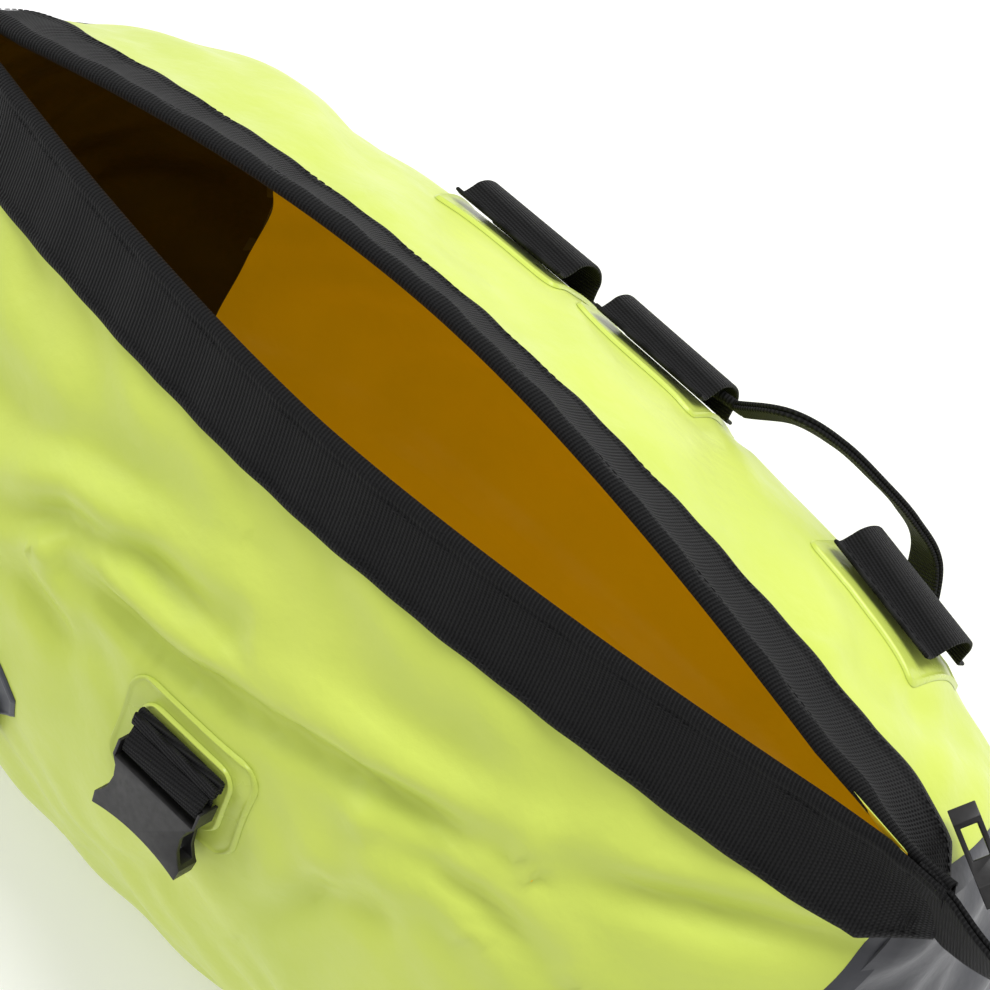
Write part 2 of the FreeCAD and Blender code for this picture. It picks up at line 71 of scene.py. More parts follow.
REAR_LOOPS = {"inner_left": -0.037, "inner_right": 0.029, "outer_right": 0.147}
REAR_Z = 0.200
LOOP_RISE = 0.012
LOOP_HALF = 0.015
PATCH_X = 0.010
PATCH_Z = 0.165

HALF = LENGTH / 2
# Columns of the table of levels: heights at the ends and at the two middles, half length, how
# far the front and back reach, the powers of both outlines along x and y, and the seam's x.
(ENDS, FRONT_MIDDLE, BACK_MIDDLE, HALF_LENGTH, FRONT_OUT, BACK_OUT, FRONT_POWER_X,
 FRONT_POWER_Y, BACK_POWER_X, BACK_POWER_Y, SEAM_X) = range(11)
LEVELS = np.array([
    (0, 0, 0, HALF - .048, FRONT_REACH - .041, BACK_REACH - .034, 2.8, 2.8, 2.8, 2.8, .176),
    (.006, .005, .005, HALF - .029, FRONT_REACH - .021, BACK_REACH - .018, 2.8, 2.8, 2.9, 2.9,
     .186),
    (.028, .026, .026, HALF - .010, FRONT_REACH - .006, BACK_REACH - .006, 2.8, 2.8, 3.1, 3.1,
     .187),
    (.075, .072, .074, HALF, FRONT_REACH, BACK_REACH, 2.8, 2.8, 3.3, 3.3, .180),
    (.130, .130, .138, HALF, FRONT_REACH - .009, BACK_REACH - .004, 2.7, 2.6, 3.4, 3.2, .188),
    (.185, .192, .204, HALF - .005, FRONT_REACH - .036, BACK_REACH - .024, 2.5, 2.2, 3.4, 2.8,
     .220),
    (.232, .246, .262, HALF - .013, FRONT_REACH - .071, BACK_REACH - .060, 2.1, 1.5, 2.8, 1.8,
     .229),
    (MOUTH_END_HEIGHT, FRONT_LIP_HEIGHT, BACK_LIP_HEIGHT, TIP, .033, .017, 1.7, .96, 1.62, .7,
     .203)])


# ---------------------------------------------------------------- bag surface

def level(v):
    """Rows of surface values at v, 0 at the resting edge and 1 at the lip."""
    last = len(LEVELS) - 1
    place = np.clip(v, 0, 1) * last
    k = np.minimum(place.astype(int), last - 1)
    t = (place - k)[..., None]
    b, c = LEVELS[k], LEVELS[k + 1]
    slope_b = (c - LEVELS[np.maximum(k - 1, 0)]) / 2
    slope_c = (LEVELS[np.minimum(k + 2, last)] - b) / 2
    return (b + t * slope_b + t ** 2 * (3 * (c - b) - 2 * slope_b - slope_c)
            + t ** 3 * (2 * (b - c) + slope_b + slope_c))


def raw(side, angle, v):
    """Points of the surface: angle 0 at the -X end, 90 at the middle, 180 at the +X end."""
    row = level(v)
    is_front = side == FRONT
    reach_column = FRONT_OUT if is_front else BACK_OUT
    power_column = FRONT_POWER_Y if is_front else BACK_POWER_Y
    half = row[..., HALF_LENGTH]
    reach = row[..., reach_column]
    px = row[..., FRONT_POWER_X if is_front else BACK_POWER_X]
    py = row[..., power_column]
    middle = row[..., FRONT_MIDDLE if is_front else BACK_MIDDLE]
    c = -np.cos(np.radians(angle))
    s = np.abs(np.sin(np.radians(angle)))
    along = np.sign(c) * np.abs(c) ** (2 / px)
    height = row[..., ENDS] + (middle - row[..., ENDS]) * (1 - along ** 2)
    out = reach * s ** (2 / py)
    lip_out = LEVELS[-1][reach_column] * s ** (2 / LEVELS[-1][power_column])
    steep = FRONT_STEEP + FRONT_STEEP_ENDS * along ** 2 if is_front else BACK_STEEP
    share = np.clip((v - UPRIGHT_FROM) / (1 - UPRIGHT_FROM), 0, 1)
    out = lip_out + (out - lip_out) * (1 - steep * share ** 2)
    return np.stack([half * along, side * out, FLOOR_GAP + height], -1)


def angle_at(side, x, v):
    """Angle at which the outline at v passes the given x."""
    row = level(v)
    power = row[..., FRONT_POWER_X if side == FRONT else BACK_POWER_X]
    ratio = np.minimum(np.abs(x) / row[..., HALF_LENGTH], 1.0) ** (power / 2)
    return np.degrees(np.arccos(-np.sign(x) * ratio))


def unit(rows):
    return rows / np.linalg.norm(rows, axis=-1, keepdims=True)


def distance_run(path):
    """Distance from the start of a path to each of its points."""
    return np.concatenate([[0], np.cumsum(np.linalg.norm(np.diff(path, axis=0), axis=1))])


def normals(side, angle, v):
    step = 0.004
    low = np.clip(v - step, 0.0, 1.0 - 2 * step)
    at = np.clip(angle, 3.0, 177.0)
    along = raw(side, at + 1.0, v) - raw(side, at - 1.0, v)
    up = raw(side, at, low + 2 * step) - raw(side, at, low)
    normal = unit(np.cross(along, up))
    return normal * np.sign(normal[..., 1:2] * side)


def bare(side, x, v, out=0.0):
    """Points off the smooth surface, without its folds."""
    x, v, out = np.broadcast_arrays(np.asarray(x, float), np.asarray(v, float), out)
    angle = angle_at(side, x, v)
    return raw(side, angle, v) + normals(side, angle, v) * out[..., None]


def skin(side, x, v, out=0.0):
    """Points off the fabric as it lies, folds included."""
    x, v, out = np.broadcast_arrays(np.asarray(x, float), np.asarray(v, float), out)
    angle = angle_at(side, x, v)
    base = raw(side, angle, v)
    lift = out + folds(side, base, v)
    return base + normals(side, angle, v) * lift[..., None]


def v_of_height(side, x, z):
    """The v at which the surface at x reaches the height z."""
    low, high = 0.0, 1.0
    for _ in range(30):
        middle = (low + high) / 2
        if bare(side, x, middle)[2] < z:
            low = middle
        else:
            high = middle
    return (low + high) / 2


# ---------------------------------------------------------------- folds of the fabric

# Each crease: its points as (x, z) on its side, depth, width, and the share of ridge above it.
FRONT_CREASES = [
    ([(-.100, .180), (-.071, .201), (-.033, .211), (.004, .214)], .0042, .0060, .55),
    ([(-.060, .188), (-.047, .192), (.000, .194), (.047, .203), (.076, .207), (.122, .210)],
     .0050, .0055, .60),
    ([(.088, .194), (.104, .197), (.122, .196), (.150, .188)], .0030, .0050, .5),
    ([(.140, .216), (.154, .218), (.197, .221), (.226, .219)], .0036, .0055, .5),
    ([(-.140, .150), (-.078, .168), (-.050, .166), (-.030, .178)], .0026, .0070, .4),
    ([(-.150, .205), (-.103, .213), (-.064, .225), (-.025, .236)], .0024, .0085, .5),
    ([(.030, .228), (.080, .226), (.130, .232)], .0016, .0100, .5),
    ([(.055, .120), (.075, .160), (.112, .176)], .0026, .0070, .5),
    ([(-.020, .070), (.020, .110), (.060, .095)], .0020, .0090, .5),
]
BACK_CREASES = [
    ([(-.150, .150), (-.110, .205), (-.080, .240)], .0022, .0120, .5),
    ([(.010, .120), (.060, .140), (.100, .120)], .0022, .0110, .5),
    ([(.165, .235), (.185, .215), (.200, .190)], .0024, .0080, .5),
    ([(.060, .268), (.110, .262), (.160, .255)], .0008, .0100, .3),
]


def crease_relief(crease, x, z):
    """Valley along a crease's line, with a softer ridge above it."""
    line, depth, width, ridge = crease
    best = np.full(x.shape, 1.0)
    offset = np.zeros(x.shape)
    for (x0, z0), (x1, z1) in zip(line[:-1], line[1:]):
        run = math.hypot(x1 - x0, z1 - z0)
        ux, uz = (x1 - x0) / run, (z1 - z0) / run
        t = np.clip((x - x0) * ux + (z - z0) * uz, 0, run)
        dx, dz = x - x0 - t * ux, z - z0 - t * uz
        distance = np.hypot(dx, dz)
        nearer = distance < best
        best = np.where(nearer, distance, best)
        offset = np.where(nearer, ux * dz - uz * dx, offset)
    ends = sum(np.exp(-((x - px) ** 2 + (z - pz) ** 2) / (2 * (2.2 * width) ** 2))
               for px, pz in (line[0], line[-1]))
    fade = 1 - 0.75 * np.clip(ends, 0, 1)
    valley = np.exp(-(best / width) ** 2)
    crest = np.exp(-((best - 2.0 * width) / (1.3 * width)) ** 2) * (offset > 0)
    return FOLD_GAIN * fade * depth * (ridge * crest - valley)


def folds(side, base, v):
    """How far the fabric stands off its smooth surface."""
    x, z = base[..., 0], base[..., 2] - FLOOR_GAP
    total = np.zeros(x.shape)
    for crease in (FRONT_CREASES if side == FRONT else BACK_CREASES):
        total += crease_relief(crease, x, z)
    slant = x * 0.8 - z * side
    total += .0011 * np.sin(slant * 62 + 3.1 * np.sin(z * 31 + side))
    total += .0006 * np.sin(slant * 131 + x * 47 + 2.0 * np.sin(z * 73))
    total *= np.clip((0.915 - v) / 0.05, 0, 1) * np.clip(v / 0.06, 0, 1)
    if side == FRONT:
        patch = ((x - PATCH_X) / .034) ** 2 + ((z - PATCH_Z) / .026) ** 2
        total *= np.clip(patch ** 2 - 0.1, 0.02, 1)
    else:
        for loop_x in REAR_LOOPS.values():
            near = ((x - loop_x) / .038) ** 2 + ((z - REAR_Z) / .036) ** 2
            total *= np.clip(near ** 2, 0.02, 1)
        under_handle = ((x - .120) / .055) ** 2 + ((z - .165) / .060) ** 2
        total = np.minimum(total, np.clip(under_handle ** 2 - 1, -.7, 3.5) * .001)
    return np.clip(total, -.007, .0035)


# ---------------------------------------------------------------- materials

def new_material(name):
    material = bpy.data.materials.new(name)
    material.use_nodes = True
    nodes = material.node_tree.nodes
    return material, nodes, material.node_tree.links, nodes["Principled BSDF"]


def node(nodes, kind, **settings):
    made = nodes.new(kind)
    for key, value in settings.items():
        setattr(made, key, value)
    return made


def math_node(nodes, links, operation, a, b=None):
    made = node(nodes, "ShaderNodeMath", operation=operation)
    for socket, value in zip(made.inputs, (a, b)):
        if value is None:
            continue
        if isinstance(value, (int, float)):
            socket.default_value = value
        else:
            links.new(value, socket)
    return made.outputs[0]


def noise(nodes, links, scale, detail=3.0, roughness=0.5):
    place = node(nodes, "ShaderNodeTexCoord")
    made = node(nodes, "ShaderNodeTexNoise")
    made.inputs["Scale"].default_value = scale
    made.inputs["Detail"].default_value = detail
    made.inputs["Roughness"].default_value = roughness
    links.new(place.outputs["Object"], made.inputs["Vector"])
    return made.outputs["Fac"]


def ramp(nodes, links, factor, stops):
    made = node(nodes, "ShaderNodeValToRGB")
    elements = made.color_ramp.elements
    while len(elements) < len(stops):
        elements.new(0.5)
    for element, (place, colour) in zip(elements, stops):
        element.position = place
        element.color = (*colour, 1.0)
    links.new(factor, made.inputs["Fac"])
    return made.outputs["Color"]


def bump(nodes, links, shader, height, distance, strength=1.0, before=None):
    made = node(nodes, "ShaderNodeBump")
    made.inputs["Strength"].default_value = strength
    made.inputs["Distance"].default_value = distance
    links.new(height, made.inputs["Height"])
    if before is not None:
        links.new(before, made.inputs["Normal"])
    if shader is not None:
        links.new(made.outputs["Normal"], shader.inputs["Normal"])
    return made.outputs["Normal"]


def coated_fabric(name, light, dark, rough, sheen):
    """Coated cloth: faint cloudy colour, fine grain, and soft crinkles."""
    material, nodes, links, shader = new_material(name)
    cloud = noise(nodes, links, 14.0, 4.0, 0.55)
    links.new(ramp(nodes, links, cloud, [(0.30, dark), (0.70, light)]),
              shader.inputs["Base Color"])
    spread = ramp(nodes, links, noise(nodes, links, 60.0, 3.0),
                  [(0.3, (rough - 0.06,) * 3), (0.7, (rough + 0.08,) * 3)])
    links.new(spread, shader.inputs["Roughness"])
    shader.inputs["Specular IOR Level"].default_value = 0.42
    shader.inputs["Sheen Weight"].default_value = sheen
    shader.inputs["Sheen Roughness"].default_value = 0.45
    wide = bump(nodes, links, None, noise(nodes, links, 26.0, 4.0, 0.6), 0.0022, 0.55)
    fine = bump(nodes, links, None, noise(nodes, links, 160.0, 3.0, 0.6), 0.0003, 0.5, wide)
    bump(nodes, links, shader, noise(nodes, links, 1900.0, 2.0, 0.6), 0.00005, 0.6, fine)
    return material


def webbing_material(name, dark, light):
    """Ribbed webbing. U runs along the band in metres and V across it, from its edge."""
    material, nodes, links, shader = new_material(name)
    place = node(nodes, "ShaderNodeUVMap", uv_map="weave")
    split = node(nodes, "ShaderNodeSeparateXYZ")
    links.new(place.outputs["UV"], split.inputs[0])
    along, across = split.outputs[0], split.outputs[1]
    turn = 2 * math.pi
    slant = math_node(nodes, links, "MULTIPLY", across, 0.10)
    run = math_node(nodes, links, "ADD", along, slant)
    rib = math_node(nodes, links, "SINE", math_node(nodes, links, "MULTIPLY", run, turn / RIB))
    yarn = math_node(nodes, links, "SINE",
                     math_node(nodes, links, "MULTIPLY", across, turn / 0.00095))
    half_rib = math_node(nodes, links, "SINE",
                         math_node(nodes, links, "MULTIPLY", run, turn / RIB / 2))
    checks = math_node(nodes, links, "MULTIPLY", yarn, half_rib)
    weave = math_node(nodes, links, "ADD", rib, math_node(nodes, links, "MULTIPLY", checks, 0.45))
    height = math_node(nodes, links, "MULTIPLY_ADD", weave, 0.33)
    height.node.inputs[2].default_value = 0.5
    # Colour follows the rib height: painted shade in the grooves and painted highlight on the rib
    # tops, plus a random mottle from the noise.
    rib_shade_and_mottle = math_node(nodes, links, "ADD", height,
                     math_node(nodes, links, "MULTIPLY", noise(nodes, links, 900.0), 0.5))
    links.new(ramp(nodes, links, rib_shade_and_mottle, [(0.45, dark), (1.15, light)]),
              shader.inputs["Base Color"])
    shader.inputs["Roughness"].default_value = 0.70
    shader.inputs["Specular IOR Level"].default_value = 0.16
    shader.inputs["Sheen Weight"].default_value = 0.03
    shader.inputs["Sheen Roughness"].default_value = 0.4
    bump(nodes, links, shader, height, 0.0006, 1.0)
    return material


def moulded_plastic(name):
    """Satin moulded plastic with a fine spark grain."""
    material, nodes, links, shader = new_material(name)
    cloud = noise(nodes, links, 220.0, 4.0)
    links.new(ramp(nodes, links, cloud, [(0.35, (0.007, 0.0066, 0.0068)),
                                         (0.75, (0.014, 0.013, 0.013))]),
              shader.inputs["Base Color"])
    spread = ramp(nodes, links, noise(nodes, links, 420.0), [(0.3, (0.36,) * 3),
                                                            (0.7, (0.50,) * 3)])
    links.new(spread, shader.inputs["Roughness"])
    bump(nodes, links, shader, noise(nodes, links, 3200.0, 2.0, 0.6), 0.00004, 0.5)
    return material


def plain_floor():
    material, nodes, links, shader = new_material("floor_paper")
    cloud = noise(nodes, links, 3.0, 2.0)
    links.new(ramp(nodes, links, cloud, [(0.3, (0.84,) * 3), (0.7, (0.86,) * 3)]),
              shader.inputs["Base Color"])
    shader.inputs["Roughness"].default_value = 0.9
    shader.inputs["Emission Color"].default_value = (1.0, 1.0, 1.0, 1.0)
    shader.inputs["Emission Strength"].default_value = 0.20
    return material


yellow = coated_fabric("yellow_coated", (0.62, 0.72, 0.115), (0.56, 0.67, 0.095), 0.40, 0.10)
film = coated_fabric("patch_film", (0.57, 0.68, 0.115), (0.53, 0.63, 0.098), 0.30, 0.08)
ochre = coated_fabric("ochre_reverse_painted_glow", (0.84, 0.62, 0.012), (0.74, 0.53, 0.009), 0.42, 0.05)
ochre_glow_shader = ochre.node_tree.nodes["Principled BSDF"]
# Ochre is the reverse side's colour as it looks with daylight coming through the cloth; the
# emission is a painted glow standing in for that light.
ochre_glow_shader.inputs["Emission Color"].default_value = (0.60, 0.34, 0.0, 1.0)
ochre_glow_shader.inputs["Emission Strength"].default_value = 0.16
corner_cloth = coated_fabric("corner_charcoal", (0.060, 0.064, 0.078), (0.048, 0.051, 0.062), 0.42,
                             0.10)
charcoal = coated_fabric("charcoal_coated", (0.052, 0.054, 0.062), (0.040, 0.041, 0.048), 0.42,
                         0.10)
dark_lining = coated_fabric("dark_reverse", (0.020, 0.013, 0.005), (0.012, 0.008, 0.003), 0.45,
                            0.05)
webbing = webbing_material("black_webbing", (0.0015, 0.0015, 0.0017), (0.011, 0.011, 0.0115))
thread = webbing_material("black_thread", (0.004, 0.004, 0.0042), (0.016, 0.016, 0.017))
plastic = moulded_plastic("clip_plastic")


# ---------------------------------------------------------------- mesh builders

def make_piece(name, vertices, faces, materials, body):
    """Mesh object from plain lists, riding on a body."""
    mesh = bpy.data.meshes.new(name)
    mesh.from_pydata([tuple(p) for p in vertices], [], faces)
    mesh.update()
    for material in materials:
        mesh.materials.append(material)
    piece = bpy.data.objects.new(name, mesh)
    bpy.context.scene.collection.objects.link(piece)
    mesh.shade_smooth()
    if body:
        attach(piece, body)
    return piece


def outward(piece):
    """Turn all faces of a closed mesh outward."""
    bm = bmesh.new()
    bm.from_mesh(piece.data)
    bmesh.ops.recalc_face_normals(bm, faces=bm.faces)
    bm.to_mesh(piece.data)
    bm.free()
    return piece


def set_weave(piece, along, across):
    """UV layer for webbing: one value each per vertex, in metres."""
    layer = piece.data.uv_layers.new(name="weave")
    index = np.empty(len(piece.data.loops), np.int32)
    piece.data.loops.foreach_get("vertex_index", index)
    pairs = np.stack([np.asarray(along)[index], np.asarray(across)[index]], -1)
    layer.data.foreach_set("uv", pairs.ravel().astype(np.float32))


def fabric_slab(name, outer, inner, materials, body="bag"):
    """Closed slab between two grids of points; the inner face takes the second material."""
    rows, columns, _ = outer.shape
    count = rows * columns
    index = np.arange(count).reshape(rows, columns)
    faces = []
    a, b = index[:-1, :-1].ravel(), index[:-1, 1:].ravel()
    c, d = index[1:, 1:].ravel(), index[1:, :-1].ravel()
    faces += np.stack([a, b, c, d], -1).tolist()
    top = len(faces)
    faces += (np.stack([d, c, b, a], -1) + count).tolist()
    under = len(faces)
    rim = np.concatenate([index[0, :], index[1:, -1], index[-1, -2::-1], index[-2:0:-1, 0]])
    following = np.roll(rim, -1)
    faces += np.stack([following, rim, rim + count, following + count], -1).tolist()
    points = np.concatenate([outer.reshape(-1, 3), inner.reshape(-1, 3)])
    piece = make_piece(name, points, faces, materials, body)
    if len(materials) > 1:
        slots = np.zeros(len(faces), np.int32)
        slots[top:under] = 1
        piece.data.polygons.foreach_set("material_index", slots)
    edge = piece.data.attributes.new("sharp_edge", "BOOLEAN", "EDGE")
    sharp = np.zeros(len(piece.data.edges), bool)
    on_rim = np.zeros(2 * count, bool)
    on_rim[rim] = True
    on_rim[rim + count] = True
    ends = np.empty(2 * len(sharp), np.int32)
    piece.data.edges.foreach_get("vertices", ends)
    ends = ends.reshape(-1, 2)
    sharp[:] = on_rim[ends[:, 0]] & on_rim[ends[:, 1]]
    edge.data.foreach_set("value", sharp)
    return outward(piece)


def tube(name, rings, materials, body):
    """Closed skin through rings of equal point count: rings is (stations, points, 3)."""
    stations, around, _ = rings.shape
    index = np.arange(stations * around).reshape(stations, around)
    a, b = index[:-1], np.roll(index, -1, 1)[:-1]
    c, d = np.roll(index, -1, 1)[1:], index[1:]
    faces = np.stack([a, b, c, d], -1).reshape(-1, 4).tolist()
    faces.append(index[0][::-1].tolist())
    faces.append(index[-1].tolist())
    piece = make_piece(name, rings.reshape(-1, 3), faces, materials, body)
    return outward(piece)


def smooth_path(points, count):
    """Evenly spaced points on a smooth curve through the given ones."""
    p = np.asarray(points, float)
    ahead = np.vstack([2 * p[0] - p[1], p, 2 * p[-1] - p[-2]])
    fine = []
    for k in range(len(p) - 1):
        a, b, c, d = ahead[k:k + 4]
        for t in np.linspace(0, 1, 24, endpoint=False):
            fine.append(b + t * (c - a) / 2 + t ** 2 * (a - 2.5 * b + 2 * c - d / 2)
                        + t ** 3 * (1.5 * (b - c) + (d - a) / 2))
    fine = np.vstack([fine, p[-1]])
    run = distance_run(fine)
    places = np.linspace(0, run[-1], count)
    even = np.stack([np.interp(places, run, fine[:, i]) for i in range(fine.shape[1])], -1)
    return even, places


def strap_section(width, thick, across_points=13):
    """Rounded outline of a webbing strap: (across, thickness) pairs, counter-clockwise."""
    half, flat = width / 2, thick / 2
    soft = flat * 1.1
    top = [(x, flat) for x in np.linspace(half - soft, -half + soft, across_points)]
    left = [(-half + soft - soft * math.cos(t), flat * math.sin(t))
            for t in (1.0, 0.4, -0.4, -1.0)]
    right = [(-x, -y) for x, y in left]
    return np.array(top + left + [(-x, -y) for x, y in top] + right)


def strap(name, path, wides, width, thick, body, start=0.0, ruled=False):
    """Webbing that follows a path; wides gives its across direction at each point.

    A ruled strap keeps that direction as it is, which a tight hook needs.
    """
    ahead = unit(np.gradient(path, axis=0))
    slip = 0.0 if ruled else ahead * np.sum(ahead * wides, -1, keepdims=True)
    wide = unit(wides - slip)
    thin = unit(np.cross(ahead, wide))
    outline = strap_section(1.0, 1.0)
    widths = np.broadcast_to(np.asarray(width, float), (len(path),))
    thicks = np.broadcast_to(np.asarray(thick, float), (len(path),))
    rings, across = [], []
    for p, w, t, wd, th in zip(path, wide, thin, widths, thicks):
        section = strap_section(wd, th)
        rings.append(p + section[:, :1] * w + section[:, 1:] * t)
        across.append(section[:, 0] + wd / 2)
    run = distance_run(path)
    piece = tube(name, np.array(rings), [webbing], body)
    along = np.repeat(run + start, len(outline))
    set_weave(piece, along, np.concatenate(across))
    return piece


def stitches(name, path, up, body, pitch=0.0034, length=0.0024, thick=0.0005, lean=0.0):
    """Row of raised stitches along a path; up is the outward direction at each point."""
    run = distance_run(path)
    places = np.arange(pitch / 2, run[-1] - pitch / 2, pitch)
    centre = np.stack([np.interp(places, run, path[:, i]) for i in range(3)], -1)
    outs = unit(np.stack([np.interp(places, run, up[:, i]) for i in range(3)], -1))
    ahead = unit(np.stack([np.interp(places, run, np.gradient(path, axis=0)[:, i])
                           for i in range(3)], -1))
    side = np.cross(outs, ahead)
    ahead = unit(ahead + side * lean)
    side = np.cross(outs, ahead)
    rows = [(-0.5, 0.15), (-0.34, 0.8), (0.0, 1.0), (0.34, 0.8), (0.5, 0.15)]
    around = [(math.cos(t), math.sin(t)) for t in np.linspace(0, 2 * math.pi, 6, endpoint=False)]
    vertices, faces = [], []
    for c, o, a, s in zip(centre, outs, ahead, side):
        base = len(vertices)
        for step, size in rows:
            ring = c + a * step * length
            for x, y in around:
                vertices.append(ring + (s * x + o * y) * size * thick / 2)
        for r in range(len(rows) - 1):
            for k in range(6):
                n = (k + 1) % 6
                faces.append([base + r * 6 + k, base + r * 6 + n, base + r * 6 + 6 + n,
                              base + r * 6 + 6 + k])
        faces.append([base + k for k in range(5, -1, -1)])
        faces.append([base + 24 + k for k in range(6)])
    piece = make_piece(name, vertices, faces, [thread], body)
    set_weave(piece, np.zeros(len(vertices)), np.zeros(len(vertices)))
    return outward(piece)


def refined(name, cad_node, material, body, bevel):
    """A CAD solid's own shape with rounded edges and a moulded surface."""
    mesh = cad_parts[cad_node].data.copy()
    mesh.name = name
    bm = bmesh.new()
    bm.from_mesh(mesh)
    bmesh.ops.remove_doubles(bm, verts=bm.verts, dist=1e-6)
    bmesh.ops.dissolve_limit(bm, angle_limit=math.radians(1.5), verts=bm.verts, edges=bm.edges)
    bmesh.ops.recalc_face_normals(bm, faces=bm.faces)
    bm.to_mesh(mesh)
    bm.free()
    mesh.materials.clear()
    mesh.materials.append(material)
    piece = bpy.data.objects.new(name, mesh)
    bpy.context.scene.collection.objects.link(piece)
    mesh.shade_smooth()
    rounding = piece.modifiers.new("edges", "BEVEL")
    rounding.width = bevel
    rounding.segments = 3
    rounding.limit_method = "ANGLE"
    rounding.angle_limit = math.radians(35)
    rounding.harden_normals = True
    rounding.use_clamp_overlap = True
    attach(piece, body)
    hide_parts(cad_node)
    return piece


# ---------------------------------------------------------------- walls, ends and base

WALL_COLUMNS = 260
WALL_ROWS = 120
END_ROWS = 80
END_COLUMNS = 35            # from a seam to the end's middle


def wall_reach(v):
    """Half length of a wall: the seam, and near the lip the mouth's own end."""
    row = level(v)
    share = np.clip((v - SEAM_TOP_V) / 0.07, 0, 1)
    share = share * share * (3 - 2 * share)
    return row[..., SEAM_X] * (1 - share) + (row[..., HALF_LENGTH] - 0.0030) * share


def kept_apart(points, side, least):
    """Points held on their own side of the mouth's line."""
    held = points.copy()
    held[..., 1] = side * np.maximum(side * points[..., 1], least)
    return held


def wall(side, name, cad_node):
    """Yellow wall with its folds; its inner face is ochre."""
    v = np.linspace(0.0, LIP_V, WALL_ROWS)[:, None]
    x = np.linspace(-1, 1, WALL_COLUMNS)[None, :] * (wall_reach(v) - 0.0002)
    v = np.broadcast_to(v, x.shape)
    outer = kept_apart(skin(side, x, v), side, FABRIC + 0.0002)
    inner = kept_apart(skin(side, x, v, -FABRIC), side, 0.0001)
    piece = fabric_slab(name, outer, inner, [yellow, ochre])
    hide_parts(cad_node)


def end_grid(sign, out):
    """Points round one end, from the front seam to the back seam."""
    v = np.linspace(0.0, END_TOP_V, END_ROWS)
    seam = wall_reach(v) + 0.0002
    share = np.linspace(0, 1, END_COLUMNS)
    grid = []
    for side in (FRONT, BACK):
        edge = angle_at(side, seam, v)
        turn = edge[:, None] + (180.0 - edge[:, None]) * share
        vv = np.broadcast_to(v[:, None], turn.shape)
        points = raw(side, turn, vv)
        push = normals(side, turn, vv)
        ease = np.clip((180 - turn) / 8, 0, 1)[..., None]
        direct = unit(push * ease + np.array([1.0, 0, 0]) * (1 - ease))
        y, z = points[..., 1], points[..., 2]
        crumple = .0022 * np.sin(z * 88 + y * 46 + sign) + .0012 * np.sin(z * 210 - y * 75)
        crumple -= .0040 * np.exp(-((z - .150 - .5 * np.abs(y)) / .010) ** 2)
        fade = np.clip(share * 3, 0, 1) * np.clip(v / 0.08, 0, 1)[:, None]
        fade = fade * np.clip((0.90 - v) / 0.08, 0, 1)[:, None]
        lift = np.clip(crumple * fade - .0012 * fade, -.006, .002) + out
        points = points + direct * lift[..., None]
        grid.append(points if side == FRONT else points[:, -2::-1])
    points = np.concatenate(grid, 1)
    points[..., 0] *= sign
    return points


def floor_cloth():
    """Ochre floor, its rim turned up and welded against the inside of the walls."""
    x = np.linspace(-.193, .193, 90)[None, :]
    rim = np.array([.060, .045, .030, .018, .008])[:, None]
    front_rim = skin(FRONT, x, rim, -FABRIC - .0004)
    back_rim = skin(BACK, x, rim[::-1], -FABRIC - .0004)
    front_edge = bare(FRONT, x, np.zeros((1, 1)), -FABRIC - .0015)
    back_edge = bare(BACK, x, np.zeros((1, 1)), -FABRIC - .0015)
    share = np.linspace(0, 1, 60)[:, None, None]
    flat = front_edge * (1 - share) + back_edge * share
    ripple = np.sin(flat[..., 0] * 30) * np.sin(flat[..., 1] * 42)
    flat[..., 2] = FLOOR_GAP + .0016 + .0006 * ripple
    upper = np.concatenate([front_rim, flat, back_rim])
    lower = upper - [0, 0, .0006]
    piece = fabric_slab("floor_cloth", upper, lower, [ochre])
    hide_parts("base_panel")


def end(sign, name, cad_node):
    """Charcoal end with its crumples, dark inside."""
    piece = fabric_slab(name, end_grid(sign, 0.0), end_grid(sign, -FABRIC),
                        [charcoal, dark_lining])
    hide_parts(cad_node)


def seam_tape(side, sign, name):
    """Narrow welded strip over the seam between a wall and an end."""
    v = np.linspace(0.01, 0.86, 90)[:, None]
    across = np.array([-.0035, -.0031, 0, .0028])[None, :]
    x = sign * (wall_reach(v) + across)
    lift = np.array([.00005, .0004, .00045, .00035])[None, :]
    v = np.broadcast_to(v, x.shape)
    piece = fabric_slab(name, skin(side, x, v, lift), skin(side, x, v, -.0003), [charcoal])


def lining_hem():
    """Folded hem of the lining that shows just under the back band, and its stitching."""
    drop = np.linspace(BAND_TURN - .002, BAND_TURN + .0052, 8)[:, None]
    x = np.linspace(-.205, .205, 160)[None, :]
    crown = 0.0003 * np.sin(np.linspace(0, math.pi, 8))[:, None]
    outer = lip_points(BACK, x, -FABRIC - .0004 - crown, drop)
    inner = lip_points(BACK, x, -FABRIC - .00005, drop)
    piece = fabric_slab("lining_hem", outer, inner, [ochre])
    xs = np.linspace(-.203, .203, 260)
    path = lip_points(BACK, xs, -FABRIC - .0007, BAND_TURN + .0028)
    up = path - lip_points(BACK, xs, 0.0, BAND_TURN + .0028)
    stitches("lining_stitching", path, up, "bag", pitch=.0052, length=.0034, thick=.0006)


# ---------------------------------------------------------------- lip bands

LIP_END_X = 0.2215          # past this the bands keep one outline
UNDER_LIP_V = 0.93          # distances down a band are measured between here and the lip


